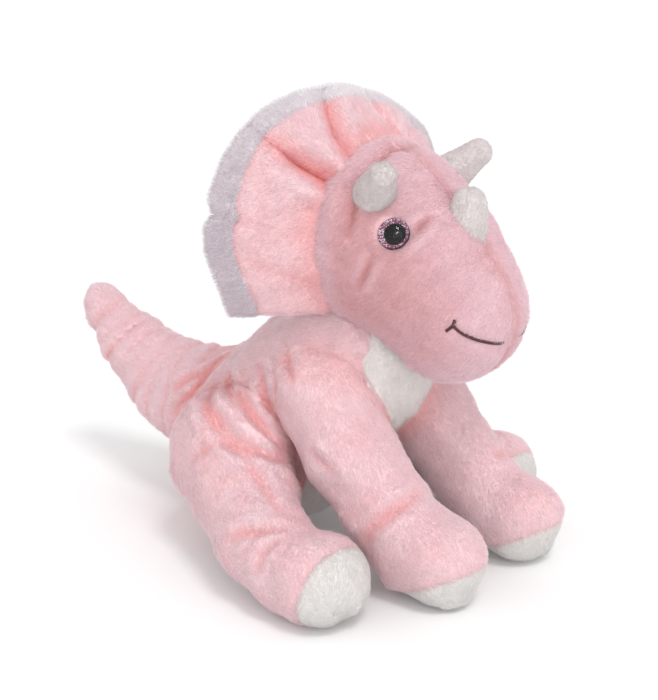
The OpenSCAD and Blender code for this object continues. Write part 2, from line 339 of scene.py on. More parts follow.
def chest_zone(points):
    """Below 0 inside the white chest and belly panel."""
    half_width = np.interp(points[:, 1], [-70, -40, -10, 20, 46], [30, 28, 26, 20, 2])
    front = np.interp(points[:, 2], [60, 112, 124, 140], [28, 28, 24, 16])
    return np.abs(points[:, 0]) - np.minimum(half_width, front)


def below_back(points):
    """Below 0 on the chest and belly side of the torso."""
    return (points[:, 1] - TORSO[0][1]) * 0.74 + (points[:, 2] - TORSO[0][2]) * 0.67 - 4


def belly(points):
    return np.maximum(chest_zone(points), below_back(points))


def sole_cut(points, foot):
    """Below 0 on the sole's side of the cut across a foot."""
    if foot == "front":
        return 0.9 * (points[:, 2] - 15.5) + 0.44 * (points[:, 1] + 130)
    y = points[:, 1] - np.where(points[:, 0] > 0, 0.6 * DRAWN_IN[1], 0)
    return (y + 98) * 0.97 + (points[:, 2] - 18) * 0.26


def seam_valleys(points):
    """Shallow valleys where the white cloth is sewn to the pink."""
    side = np.abs(points[:, 0])
    width = 1.3
    panel = np.exp(-np.abs(belly(points)) / width) * (torso_field(points) < 2)
    front = np.exp(-np.abs(sole_cut(points, "front")) / width) * ((points[:, 1] < -100) & (side < 60))
    rear = np.exp(-np.abs(sole_cut(points, "rear")) / width) * (side > 62)
    return panel + 0.9 * front + 0.9 * rear


def body_creases(points):
    total = tail_rings(points) + seam_valleys(points)
    for fold in BODY_FOLDS:
        total += fold(points)
    return total


def body_field(points):
    d = smooth_body(points)
    near = np.abs(d) < SKIN_REACH
    if near.any():
        p = points[near]
        d[near] += body_creases(p) - 0.8 * lumps(p, 34, 1) - 0.35 * lumps(p, 13, 2)
    return soft_max(d, REST_HEIGHT - points[:, 2], 3.0)


def crowding(points):
    """1 deep between two parts of the body, falling to 0 where the skin faces free air; it places painted shade
    between the parts.
    """
    parts = [torso_field(points)] + [limb_field(points, name) for name in LIMBS]
    second = np.sort(parts, axis=0)[1]
    return np.exp(-np.maximum(second - 1, 0) / 5)


def body_shade(points):
    """Painted shade: deep colour in the creases and between the legs, less of it at the shoulders and hips."""
    low_down = np.interp(points[:, 2], [60, 95], [1, 0.3])
    return body_creases(points) / 4.8 + 0.85 * crowding(points) * low_down


# ------------------------------ meshes from fields


def grid_values(field, low, shape, cell):
    """Field values on a grid. Blocks far from the surface keep the value at their middle."""
    block = 4
    coarse_shape = [s // block + 1 for s in shape]
    middles = np.stack(np.meshgrid(*[np.arange(s) for s in coarse_shape], indexing="ij"), -1)
    middles = middles.reshape(-1, 3) * block + (block - 1) / 2
    coarse = field(low + middles * cell).reshape(coarse_shape)
    for axis in range(3):
        coarse = np.repeat(coarse, block, axis)
    values = coarse[: shape[0], : shape[1], : shape[2]].copy()
    near = np.argwhere(np.abs(values) < block * cell * 0.87 + 5)
    values[tuple(near.T)] = field(low + near * cell)
    return values


def surface_net(field, low, high, cell):
    """Vertices and outward quads of the surface where the field is 0."""
    low = np.array(low, float)
    shape = np.ceil((np.array(high) - low) / cell).astype(int) + 1
    values = grid_values(field, low, shape, cell)
    inside = values < 0
    total, count = np.zeros((values.size, 3)), np.zeros(values.size)
    quads = []
    for axis in range(3):
        first, second = [slice(None)] * 3, [slice(None)] * 3
        first[axis], second[axis] = slice(None, -1), slice(1, None)
        first, second = tuple(first), tuple(second)
        at = np.argwhere(inside[first] != inside[second])
        va, vb = values[first][tuple(at.T)], values[second][tuple(at.T)]
        crossing = at.astype(float)
        crossing[:, axis] += va / (va - vb)
        o1, o2 = (axis + 1) % 3, (axis + 2) % 3
        ring = []
        for d1, d2 in ((0, 0), (-1, 0), (-1, -1), (0, -1)):
            cell_at = at.copy()
            cell_at[:, o1] += d1
            cell_at[:, o2] += d2
            flat = np.ravel_multi_index(tuple(cell_at.T), values.shape)
            for k in range(3):
                total[:, k] += np.bincount(flat, crossing[:, k], values.size)
            count += np.bincount(flat, minlength=values.size)
            ring.append(flat)
        ring = np.stack(ring, 1)
        ring[va > 0] = ring[va > 0][:, ::-1]
        quads.append(ring)
    quads = np.vstack(quads)
    used, quads = np.unique(quads, return_inverse=True)
    vertices = low + total[used] / count[used][:, None] * cell
    return vertices, quads.reshape(-1, 4)


def relax(vertices, quads, amount=0.5):
    """One round of smoothing that moves each vertex towards the middle of its neighbours."""
    n = len(vertices)
    starts = quads.ravel()
    ends = np.roll(quads, -1, 1).ravel()
    a, b = np.concatenate([starts, ends]), np.concatenate([ends, starts])
    count = np.bincount(a, minlength=n)[:, None]
    mean = np.stack([np.bincount(a, vertices[b, k], n) for k in range(3)], 1) / count
    return vertices + amount * (mean - vertices)


def skin_mesh(outside, walls, low, high, cell=CELL):
    """Closed piece bounded by the outside field and by hidden walls where it is cut from its neighbours."""

    def field(points):
        d = outside(points)
        for wall in walls:
            d = np.maximum(d, wall(points))
        return d

    vertices, quads = surface_net(field, low, high, cell)
    for _ in range(2):
        vertices = relax(vertices, quads)
        vertices = settle(field, vertices, 2)
    near = 0.6 * cell
    for wall in walls:
        edge = np.flatnonzero((np.abs(outside(vertices)) < near) & (np.abs(wall(vertices)) < near))
        p = vertices[edge]
        for _ in range(3):
            p = settle(outside, p, 1)
            p = settle(wall, p, 1)
        vertices[edge] = p
    return vertices, quads


def new_object(name, data):
    obj = bpy.data.objects.new(name, data)
    bpy.context.scene.collection.objects.link(obj)
    return obj


def mesh_object(name, vertices, faces, material, attributes=None):
    """Smooth mesh object from millimetre vertices, with named vertex attributes."""
    mesh = bpy.data.meshes.new(name)
    mesh.from_pydata((vertices * MM).tolist(), [], np.asarray(faces).tolist())
    for key, values in (attributes or {}).items():
        kind, slot = ("FLOAT_VECTOR", "vector") if values.ndim == 2 else ("FLOAT", "value")
        mesh.attributes.new(key, kind, "POINT").data.foreach_set(slot, values.astype(np.float32).ravel())
    mesh.materials.append(material)
    mesh.shade_smooth()
    mesh.set_sharp_from_angle(angle=math.radians(55))
    return new_object(name, mesh)


# ------------------------------ node helpers


class Nodes:
    """Short way to write a node tree."""

    def __init__(self, tree):
        self.tree = tree
        tree.nodes.clear()

    def add(self, kind, inputs=None, **settings):
        node = self.tree.nodes.new(kind)
        for key, value in settings.items():
            setattr(node, key, value)
        for key, value in (inputs or {}).items():
            if isinstance(value, bpy.types.NodeSocket):
                self.tree.links.new(value, node.inputs[key])
            else:
                node.inputs[key].default_value = value
        return node

    def mix_colour(self, factor, a, b, mode="MIX"):
        """Mix of two colours; a socket or a value for each."""
        node = self.add("ShaderNodeMix", data_type="RGBA", blend_type=mode)
        for index, value in ((0, factor), (6, a), (7, b)):
            if isinstance(value, bpy.types.NodeSocket):
                self.tree.links.new(value, node.inputs[index])
            else:
                node.inputs[index].default_value = value
        return node.outputs[2]

    def brightened(self, colour, amount):
        grey = self.add("ShaderNodeCombineColor", {"Red": amount, "Green": amount, "Blue": amount})
        return self.mix_colour(1.0, colour, grey.outputs["Color"], "MULTIPLY")

    def noise(self, scale, detail=2.0, **more):
        inputs = {"Vector": self.place, "Scale": scale, "Detail": detail, **more}
        return self.add("ShaderNodeTexNoise", inputs).outputs["Fac"]

    def ramp(self, value, low, high, start=0.0, end=1.0):
        """Turns a value from start to end into one from low to high."""
        inputs = {"Value": value, "From Min": start, "From Max": end, "To Min": low, "To Max": high}
        return self.add("ShaderNodeMapRange", inputs).outputs["Result"]

    def bump(self, height, strength, distance, **more):
        inputs = {"Height": height, "Strength": strength, "Distance": distance, **more}
        return self.add("ShaderNodeBump", inputs).outputs["Normal"]

    def principled(self, colour, roughness, more):
        inputs = {"Base Color": colour, "Roughness": roughness, **more}
        return self.add("ShaderNodeBsdfPrincipled", inputs).outputs["BSDF"]

    def output(self, shader):
        self.add("ShaderNodeOutputMaterial", {"Surface": shader})


def rgb(red, green, blue):
    """Linear colour from 8-bit screen values."""
    parts = [c / 255 for c in (red, green, blue)]
    linear = [c / 12.92 if c <= 0.04045 else ((c + 0.055) / 1.055) ** 2.4 for c in parts]
    return (*linear, 1.0)


def new_material(name):
    material = bpy.data.materials.new(name)
    material.use_nodes = True
    n = Nodes(material.node_tree)
    n.place = n.add("ShaderNodeTexCoord").outputs["Object"]
    return material, n


def cloth_material(name, light, deep):
    """Ground cloth of the plush, seen between the hairs."""
    material, n = new_material(name)
    nap = n.noise(420.0, 4.0, Roughness=0.65)
    colour = n.mix_colour(n.ramp(n.noise(55.0, 3.0), 0.0, 0.35, 0.3, 0.7), light, deep)
    colour = n.brightened(colour, n.ramp(nap, 0.9, 1.06, 0.35, 0.65))
    # fold mixes in the deep colour as painted shade in creases, between parts and on shaded sides
    colour = n.mix_colour(n.add("ShaderNodeAttribute", attribute_name="fold").outputs["Fac"], colour, deep)
    coarse = n.bump(nap, 0.6, 0.0012)
    fine = n.bump(n.noise(1500.0, 3.0), 0.5, 0.0005, Normal=coarse)
    more = {"Normal": fine, "Sheen Weight": 0.3, "Sheen Roughness": 0.5, "Specular IOR Level": 0.2}
    n.output(n.principled(colour, n.ramp(nap, 0.8, 1.0), more))
    return material


def hair_material(name, root, deep, tip):
    """Hairs of the pile, paler towards the tip as a painted sheen, with painted shade in the deep colour where
    fold is set, and a little different from tuft to tuft.
    """
    material, n = new_material(name)
    info = n.add("ShaderNodeHairInfo")
    colour = n.mix_colour(info.outputs["Intercept"], root, tip)
    colour = n.mix_colour(n.ramp(n.noise(60.0, 3.0), 0.0, 0.35, 0.35, 0.7), colour, root)
    colour = n.mix_colour(n.add("ShaderNodeAttribute", attribute_name="fold").outputs["Fac"], colour, deep)
    colour = n.brightened(colour, n.ramp(info.outputs["Random"], 0.9, 1.06))
    shader = n.principled(colour, 0.75, {"Specular IOR Level": 0.25})
    glow = n.add("ShaderNodeBsdfTranslucent", {"Color": colour}).outputs["BSDF"]
    n.output(n.add("ShaderNodeMixShader", {0: 0.4, 1: shader, 2: glow}).outputs["Shader"])
    return material


class Plush:
    """A plush fabric: its slot in the record, its ground cloth, and its hairs with their length."""

    def __init__(self, slot, light, deep, tip, length):
        self.slot = slot
        self.length = length
        self.cloth = cloth_material(slot, light, deep)
        self.hair = hair_material(slot + "_pile", light, deep, tip)


# Each plush: slot, light colour, deep colour, tip colour and pile length. The deep colour comes in at random
# patches and, through fold, as painted shade; the paler tip colour is a painted sheen.
PINK = Plush("pink_plush", rgb(241, 217, 221), rgb(248, 180, 178), rgb(247, 237, 240), 2.2)
FACE = Plush("face_plush", rgb(238, 210, 216), rgb(218, 152, 149), rgb(249, 235, 240), 2.8)
# WHITE, SOLE and HEM are one white plush in lit and shaded copies: the soles' darker copy and the hem's grey
# lilac copy are painted shade, and the chest's lighter copy is painted light.
WHITE = Plush("white_plush", rgb(240, 238, 236), rgb(240, 230, 228), rgb(246, 245, 244), 2.0)
SOLE = Plush("white_plush", rgb(229, 227, 225), rgb(230, 214, 212), rgb(237, 236, 235), 2.0)
HEM = Plush("white_plush", rgb(236, 232, 234), rgb(212, 200, 207), rgb(246, 243, 245), 2.6)
HORN = Plush("horn_plush", rgb(221, 215, 214), rgb(192, 178, 178), rgb(236, 232, 231), 1.3)


# ------------------------------ pile


def pile_nodes():
    """Geometry nodes that grow the pile on a skin. Its attribute comb gives the lie, and pile the length."""
    tree = bpy.data.node_groups.new("grow_pile", "GeometryNodeTree")
    sockets = {"Geometry": "Geometry", "Skin": "Object", "Density": "Float", "Length": "Float", "Lean": "Float"}
    for label, kind in (sockets | {"Seed": "Int", "Hair": "Material"}).items():
        tree.interface.new_socket(label, in_out="INPUT", socket_type="NodeSocket" + kind)
    tree.interface.new_socket("Geometry", in_out="OUTPUT", socket_type="NodeSocketGeometry")
    n = Nodes(tree)
    given = n.add("NodeGroupInput").outputs

    def vector_math(operation, *values):
        return n.add("ShaderNodeVectorMath", dict(enumerate(values)), operation=operation).outputs["Vector"]

    def scaled(vector, amount):
        return n.add("ShaderNodeVectorMath", {0: vector, "Scale": amount}, operation="SCALE").outputs["Vector"]

    def math_node(operation, *values):
        return n.add("ShaderNodeMath", dict(enumerate(values)), operation=operation).outputs["Value"]

    def attribute(name, kind):
        return n.add("GeometryNodeInputNamedAttribute", {"Name": name}, data_type=kind).outputs["Attribute"]

    skin = n.add("GeometryNodeObjectInfo", {"Object": given["Skin"]}, transform_space="RELATIVE")
    pile, comb = attribute("pile", "FLOAT"), attribute("comb", "FLOAT_VECTOR")
    density = math_node("MULTIPLY", given["Density"], math_node("GREATER_THAN", pile, 0.05))
    scatter = {"Mesh": skin.outputs["Geometry"], "Density": density, "Seed": given["Seed"]}
    roots = n.add("GeometryNodeDistributePointsOnFaces", scatter)
    place = n.add("GeometryNodeInputPosition").outputs["Position"]
    tufts = n.add("ShaderNodeTexNoise", {"Vector": place, "Scale": 330.0, "Detail": 2.0}).outputs["Color"]
    waves = n.add("ShaderNodeTexNoise", {"Vector": place, "Scale": 90.0, "Detail": 1.0}).outputs["Color"]
    half = (0.5, 0.5, 0.5)
    tuft = scaled(vector_math("SUBTRACT", tufts, half), 1.5)
    wave = scaled(vector_math("SUBTRACT", waves, half), 1.6)
    stray = n.add("FunctionNodeRandomValue", {"Seed": 3}, data_type="FLOAT_VECTOR")
    stray.inputs[0].default_value, stray.inputs[1].default_value = (-0.28,) * 3, (0.28,) * 3
    lie = vector_math("ADD", scaled(comb, given["Lean"]), vector_math("ADD", tuft, wave))
    aim = vector_math("ADD", vector_math("ADD", roots.outputs["Normal"], lie), stray.outputs[0])
    axes = {"Primary Axis": vector_math("NORMALIZE", aim), "Secondary Axis": comb}
    turn = n.add("FunctionNodeAxesToRotation", axes, primary_axis="Z", secondary_axis="X")
    vary = n.add("FunctionNodeRandomValue", {"Seed": 8}, data_type="FLOAT")
    vary.inputs[2].default_value, vary.inputs[3].default_value = 0.65, 1.1
    length = math_node("MULTIPLY", math_node("MULTIPLY", given["Length"], pile), vary.outputs[1])
    bent = {"Resolution": 3, "Start": (0, 0, 0), "Middle": (0, 0, 0.6), "End": (0.4, 0, 1.0)}
    hair = n.add("GeometryNodeCurveQuadraticBezier", bent)
    size = n.add("ShaderNodeCombineXYZ", {"X": length, "Y": length, "Z": length}).outputs["Vector"]
    planting = {
        "Points": roots.outputs["Points"],
        "Instance": hair.outputs["Curve"],
        "Rotation": turn.outputs["Rotation"],
        "Scale": size,
    }
    planted = n.add("GeometryNodeInstanceOnPoints", planting)
    real = n.add("GeometryNodeRealizeInstances", {"Geometry": planted.outputs["Instances"]})
    factor = n.add("GeometryNodeSplineParameter").outputs["Factor"]
    radius = n.ramp(factor, 0.00008, 0.00003)
    thick = n.add("GeometryNodeSetCurveRadius", {"Curve": real.outputs["Geometry"], "Radius": radius})
    hairs = n.add("GeometryNodeSetMaterial", {"Geometry": thick.outputs["Curve"], "Material": given["Hair"]})
    n.add("NodeGroupOutput", {"Geometry": hairs.outputs["Geometry"]})
    return tree


GROW = pile_nodes()
SEEDS = iter(range(11, 500, 7))


def grow_pile(obj, plush, lean=1.0, length=1.0):
    """Hairs on a skin, as a hair object of its own that moves with it."""
    data = bpy.data.hair_curves.new(obj.name + "_pile")
    data.materials.append(plush.hair)
    hairs = new_object(obj.name + "_pile", data)
    hairs.parent = obj
    modifier = hairs.modifiers.new("pile", "NODES")
    modifier.node_group = GROW
    values = {
        "Skin": obj,
        "Density": HAIRS_PER_MM2 * 1e6,
        "Length": plush.length * length * MM,
        "Lean": lean,
        "Seed": next(SEEDS),
        "Hair": plush.hair,
    }
    for item in GROW.interface.items_tree:
        if item.in_out == "INPUT" and item.name in values:
            modifier[item.identifier] = values[item.name]


def combed(normals, direction):
    """The given directions laid flat on the surface."""
    return unit(direction - (direction * normals).sum(1)[:, None] * normals)


def plush_object(name, plush, vertices, faces, normals, comb, pile=1.0, fold=0.0, **growth):
    """A mesh of plush with its hairs. Pile is their length and fold the share of deep colour, which is painted
    shade.
    """
    even = np.ones(len(vertices))
    attributes = {"comb": combed(normals, comb), "pile": even * pile, "fold": even * np.clip(fold, 0, 1)}
    obj = mesh_object(name, vertices, faces, plush.cloth, attributes)
    grow_pile(obj, plush, **growth)
    return obj


def skin_piece(name, plush, outside, walls, low, high, comb, shade, pile=None, **growth):
    """One sewn piece of plush, with hairs only on the side that shows."""
    vertices, quads = skin_mesh(outside, walls, low, high)
    shown = np.ones(len(vertices))
    for wall in walls:
        shown[wall(vertices) > outside(vertices) + 0.3] = 0
    length = pile(vertices) if pile else 1
    normals = unit(slope(outside, vertices))
    # shade gives the share of painted shade at each vertex
    more = {"pile": shown * length, "fold": shade(vertices), **growth}
    return plush_object(name, plush, vertices, quads, normals, comb(vertices), **more)


# ------------------------------ body pieces


def chain_box(chain, grow):
    c = np.array(chain)
    return (c[:, :3] - c[:, 3:]).min(0) - grow, (c[:, :3] + c[:, 3:]).max(0) + grow


def limb_comb(chain):
    ends = np.array(chain[-1][:3]) - np.array(chain[0][:3])
    return lambda p: np.tile(ends / np.linalg.norm(ends), (len(p), 1))


def torso_comb(p):
    return np.tile([0.0, 0.75, -0.65], (len(p), 1))


def torso_side(p):
    return torso_field(p) - WALL


def limb_side(name):
    return lambda p: limb_field(p, name) - WALL


def two_sides(cut):
    """Walls for the two pieces sewn together where cut is 0: first the pink one above 0, then the white one."""
    return (lambda p: -SEAM_LAP - cut(p)), (lambda p: -SEAM_LAP + cut(p))


def body_piece(name, plush, walls, chain, grow, comb, **growth):
    low, high = chain_box(chain, grow)
    return skin_piece(name, plush, body_field, walls, low, high, comb, body_shade, **growth)


pink_wall, white_wall = two_sides(belly)
torso = body_piece("torso_plush", PINK, [torso_side, pink_wall], TORSO, 8, torso_comb)
panel = body_piece("belly_plush", WHITE, [torso_side, white_wall], TORSO, 8, torso_comb)
for piece in (torso, panel):
    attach(piece, "torso")
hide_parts("torso_skin", "torso_stuffing", "pellet_pouch")
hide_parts("belly_panel")

for side in ("right", "left"):
    for which in ("front", "rear"):
        name = f"{side}_{which}_leg"
        chain = LIMBS[name]
        comb = limb_comb(chain)
        pink_wall, white_wall = two_sides(lambda p, which=which: sole_cut(p, which))
        leg = body_piece(f"{name}_plush", PINK, [limb_side(name), pink_wall], chain, 6, comb)
        sole_walls = [limb_side(name), white_wall]
        sole = body_piece(f"{side}_{which}_sole_plush", SOLE, sole_walls, chain, 6, comb, length=0.8)
        Vector(chain[1][:3]) * MM
        Vector(chain[2][:3]) * MM
        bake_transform(leg)
        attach(sole, name)
        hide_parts(name, f"{side}_{which}_stuffing")
        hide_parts(f"{side}_{which}_sole")

tail = body_piece("tail_plush", PINK, [limb_side("tail")], TAIL, 6, limb_comb(TAIL))
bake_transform(tail)
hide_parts("tail_skin", "tail_stuffing")


# ------------------------------ head


def smooth_head(points):
    return chain_field(points, HEAD)


AHEAD_OF_EYE = [(-17, -47, 61), (-24, -45, 57), (-29.6, -42.6, 52.7), (-35.5, -38, 46)]
BELOW_EYE = [(-39, -29, 45.5), (-41, -25.2, 34), (-40.8, -22, 26.7)]
HEAD_FOLDS = [Fold(smooth_head, NECK + AHEAD_OF_EYE, 2.6, 2.6), Fold(smooth_head, NECK + BELOW_EYE, 2.2, 1.4)]
FOREHEAD = 168  # height from which the roll of cloth before the frill rises
EYE_RADIUS = 7.5
EYES = [middle("right_eye_iris"), middle("left_eye_iris")]
PUPIL_SHIFT = np.array([0, -1.1, -0.5])  # the printed black sits a little ahead of the middle
SOCKET = 0.6 - float(smooth_head(EYES[0][None])[0])  # how far the cloth is drawn in under an eye
HALF_SMILE = [(-29.1, -66, 13.7), (-26.6, -69.3, 9.9), (-22, -73.4, 6.8)]
HALF_SMILE += [(-16.4, -76.9, 4.7), (-9.3, -79.4, 3.0), (0, -80.5, 2.4)]
SMILE = smooth_line(NECK + HALF_SMILE)


def eye_distance(points):
    return np.minimum(*[np.linalg.norm(points - eye, axis=1) for eye in EYES])


def smile_distance(points):
    """Distance from the smile, which is the same on both sides."""
    near = np.flatnonzero((points[:, 1] < -100) & (points[:, 2] < 150))
    out = np.full(len(points), 50.0)
    at = on_right(points[near])
    out[near] = np.sqrt(((at[:, None] - SMILE[None]) ** 2).sum(2).min(1))
    return out


def head_creases(points):
    total = sum(fold(points) for fold in HEAD_FOLDS)
    centre = np.exp(-np.abs(points[:, 0]) / 2.4)
    ahead = np.clip((-66 - points[:, 1]) / 14, 0, 1)
    socket = SOCKET * np.exp(-((eye_distance(points) / 9.5) ** 4))
    return total + 1.3 * centre * ahead + socket


def forehead_roll(points):
    """Roll of cloth that runs over the forehead just ahead of the frill, with a valley before it."""
    high_up = np.clip((points[:, 2] - FOREHEAD) / 18, 0, 1)
    roll = 3.0 * np.exp(-(((points[:, 1] + 66) / 5.0) ** 2))
    return high_up * (roll - forehead_valley(points))


def forehead_valley(points):
    """Crease that marks the roll off from the face."""
    return 2.6 * np.exp(-np.abs(points[:, 1] + 74 + 0.06 * np.abs(points[:, 0])) / 1.6)


def head_field(points):
    d = smooth_head(points)
    near = np.abs(d) < SKIN_REACH
    if near.any():
        p = points[near]
        d[near] += head_creases(p) - 0.7 * lumps(p, 30, 5) - 0.3 * lumps(p, 12, 6) - forehead_roll(p)
    return d


def head_shade(points):
    """Painted shade: darker, duller cheeks, and deep colour in the creases."""
    cheek = np.clip((np.abs(points[:, 0]) - 20) / 18, 0, 1) * np.clip((-62 - points[:, 1]) / 10, 0, 1)
    valley = forehead_valley(points) * np.clip((points[:, 2] - FOREHEAD) / 18, 0, 1)
    open_skin = eye_distance(points) > 12
    return (head_creases(points) + valley) / 3.2 * open_skin + 0.32 * cheek


def head_comb(p):
    out = np.zeros((len(p), 3))
    out[:, 0] = 0.5 * np.sign(p[:, 0])
    out[:, 1] = 0.6
    out[:, 2] = -0.7
    return out


def head_pile(p):
    """The pile is clipped round the eyes, less in front of them, and along the smile."""
    round_eyes = np.clip((eye_distance(p - [0, 2.0, 0.8]) - EYE_RADIUS + 0.4) / 1.4, 0, 1)
    middle_cover = np.clip((12 - np.abs(p[:, 0])) / 5, 0, 1)
    round_smile = np.clip((smile_distance(p) - 0.4) / 2.2, 0.15, 1)
    return round_eyes * np.maximum(round_smile, middle_cover)


low, high = chain_box(HEAD, 8)
head = skin_piece("head_plush", FACE, head_field, [], low, high, head_comb, head_shade, head_pile)
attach(head, "head")
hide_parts("head_skin", "head_stuffing")


# ------------------------------ frill

FRILL_CENTRE = NECK + [0, 7, 43]
FRILL_SEAM = (43.0, 46.0)  # half width and half height of the seam on the head
FRILL_ENDS = 131.5  # height of the lower corners of the hem
FRILL_BOW = math.radians(12)  # how far it curls from the head to the hem, each way from the middle
# Turn round the head in degrees, 90 at the top; width of the frill and how far it leans back there
FRILL_TURNS = [-35, 0, 15, 30, 45, 60, 75, 90, 105, 120, 135, 150, 165, 180, 195, 215]
FRILL_REACH = [42, 47.5, 46.5, 39, 32, 29.5, 28, 27.5, 30, 36.5, 43.5, 48, 49, 48.5, 43.5, 42]
FRILL_LEAN = [38, 32, 25, 25, 31, 38, 40, 35, 29, 33, 32, 34, 36, 40, 39, 40]
# Creases of the frill: turn at the head and at the hem, width in degrees, depth, v where it is deepest,
# and how far it runs along v
FRILL_CREASES = [
    (140, 137, 5, 8.0, 0.20, 0.62),
    (116, 103, 5, 6.0, 0.55, 0.62),
    (172, 169, 5, 1.0, 0.60, 0.42),
    (200, 174, 7, 1.4, 0.35, 0.42),
    (40, 43, 5, 5.5, 0.10, 0.42),
    (64, 76, 5, 3.5, 0.45, 0.42),
    (8, 11, 5, 1.0, 0.60, 0.42),
]
HEM_NOTCHES = (168, 12)


def frill_middle(turn, v):
    """Middle surface of the frill: place, front normal and outward direction.

    v runs from 0 at the head to 1 at the hem.
    """
    reach = np.interp(turn, FRILL_TURNS, FRILL_REACH)
    lean = np.radians(np.interp(turn, FRILL_TURNS, FRILL_LEAN))
    for notch in HEM_NOTCHES:
        away = turn - notch
        reach = reach - 3.5 * np.exp(-((away / 2.6) ** 2)) + 1.2 * np.exp(-((away / 9) ** 2))
    bent = lean + FRILL_BOW * (1 - 2 * v)
    run = reach * (np.sin(lean + FRILL_BOW) - np.sin(bent)) / (2 * FRILL_BOW)
    rise = reach * (np.cos(bent) - np.cos(lean + FRILL_BOW)) / (2 * FRILL_BOW)
    c, s = np.cos(np.radians(turn)), np.sin(np.radians(turn))
    place = FRILL_CENTRE + np.stack([c * (FRILL_SEAM[0] + run), rise, s * (FRILL_SEAM[1] + run)], -1)
    front = np.stack([c * np.sin(bent), -np.cos(bent), s * np.sin(bent)], -1)
    outward = np.stack([c * np.cos(bent), np.sin(bent), s * np.cos(bent)], -1)
    return place, front, outward


def frill_crease(turn, v):
    total = np.zeros_like(turn)
    for at_head, at_hem, width, depth, deepest, run in FRILL_CREASES:
        d = np.abs(turn - at_head - (at_hem - at_head) * v) / width
        along = np.exp(-(((v - deepest) / run) ** 2))
        total += depth * along * (np.exp(-1.3 * d) - 0.3 * np.exp(-(((d - 2.2) / 0.9) ** 2)))
    return total


def frill_root(turn):
    """The sewn edge as v, which lies inside the head, and deepest at the top."""
    return np.interp(turn, [45, 70, 110, 135], [-0.22, -0.5, -0.5, -0.22])


def border_start(turn):
    """Where the white border begins, as v."""
    reach = np.interp(turn, FRILL_TURNS, FRILL_REACH)
    width = np.interp(turn, [0, 60, 90, 120, 165, 200], [12, 8, 7, 8, 12.5, 13])
    return 1 - width / reach


def grid_faces(rows, columns):
    i, j = np.meshgrid(np.arange(rows - 1), np.arange(columns - 1), indexing="ij")
    a = (i * columns + j).ravel()
    return np.stack([a, a + 1, a + columns + 1, a + columns], 1)


def frill_piece(name, plush, parts):
    """One cloth of the frill from stacked rows of points."""
    place, normal, outward, shade = [np.concatenate(p) for p in zip(*parts)]
    rows, columns = place.shape[:2]
    flat = [a.reshape(-1, 3) for a in (normal, outward)]
    obj = plush_object(name, plush, place.reshape(-1, 3), grid_faces(rows, columns), *flat, fold=shade.ravel())
    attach(obj, "head")
    return obj


FRILL_AROUND = 300
FRILL_ROWS = 34
FRILL_SPREAD = 112  # degrees from the top down to each end


def frill_rows(count, first, last):
    """Rows of v between two parts of the width: 0 at the sewn edge, 1 at the border, 2 at the hem."""
    turn = 90 - FRILL_SPREAD * np.linspace(-1, 1, FRILL_AROUND)
    edge, root = border_start(turn), frill_root(turn)
    rows = []
    for t in np.linspace(first, last, count):
        if t <= 1:
            rows.append(root + t * (edge - root))
        else:
            rows.append(edge + (1 - edge) * (1 - (2 - t) ** 2))
    return np.array(rows)


def frill_surface(v, back):
    """Front or back cloth of the frill at rows of v: place, normal, outward direction and share of deep colour,
    which is painted shade.
    """
    s = np.linspace(-1, 1, v.shape[1])[None, :]
    # every row ends at about the height FRILL_ENDS, and its reach there is taken from a turn near it
    depth = FRILL_CENTRE[2] - FRILL_ENDS
    near_end = 200.0
    place = frill_middle(np.full_like(v, near_end), np.maximum(v, 0))[0]
    radius = FRILL_SEAM[1] + (np.abs(place[..., 0]) / math.cos(math.radians(near_end - 180)) - FRILL_SEAM[0])
    lowest = 180 + np.degrees(np.arcsin(depth / radius))
    turn = 90 - s * (lowest - 90)
    place, front, outward = frill_middle(turn, v)
    ends = np.sqrt(1 - np.clip((np.abs(s) - 0.95) / 0.05, 0, 1) ** 2)
    wadding = 5.6 * (0.8 + 0.2 * np.sin(math.pi * np.maximum(v, 0)))
    thick = wadding * np.sqrt(np.maximum(1 - v**6, 0)) * ends
    crease = frill_crease(turn, v) * ends
    border = np.exp(-(((v - border_start(turn)) / 0.035) ** 2)) * ends
    flat = place.reshape(-1, 3)
    uneven = (0.9 * lumps(flat, 22, 21) + 0.4 * lumps(flat, 10, 22)).reshape(v.shape)
    if back:
        offset = -(0.9 * thick - 0.35 * crease + 0.6 * uneven * ends * (1 - v**4))
    else:
        offset = thick - crease - 0.9 * border + uneven * ends * (1 - v**4)
    # Painted shade: on the border and the back it grows towards the lower ends, on the pink front it lies in
    # the creases and near the head.
    dim = 0.7 * np.clip((np.abs(turn - 90) - 15) / 70, 0, 1)
    pink = crease / 8 + 0.35 * np.exp(-np.maximum(v, 0) / 0.2)
    shade = np.where((v >= border_start(turn)) | back, dim, pink)
    return place + front * offset[..., None], front * (-1 if back else 1), outward, shade


front_rows = frill_rows(FRILL_ROWS, 0, 1)
border_rows = frill_rows(FRILL_ROWS // 2, 1, 2)
back_rows = np.vstack([border_rows[::-1][1:], front_rows[::-1][1:]])
frill_front = frill_piece("frill_front_plush", PINK, [frill_surface(front_rows, False)])
wrapped = [frill_surface(border_rows, False), frill_surface(back_rows, True)]
frill_back = frill_piece("frill_back_plush", HEM, wrapped)
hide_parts("frill_front_panel", "frill_wadding")
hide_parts("frill_back_panel")


# ------------------------------ horns


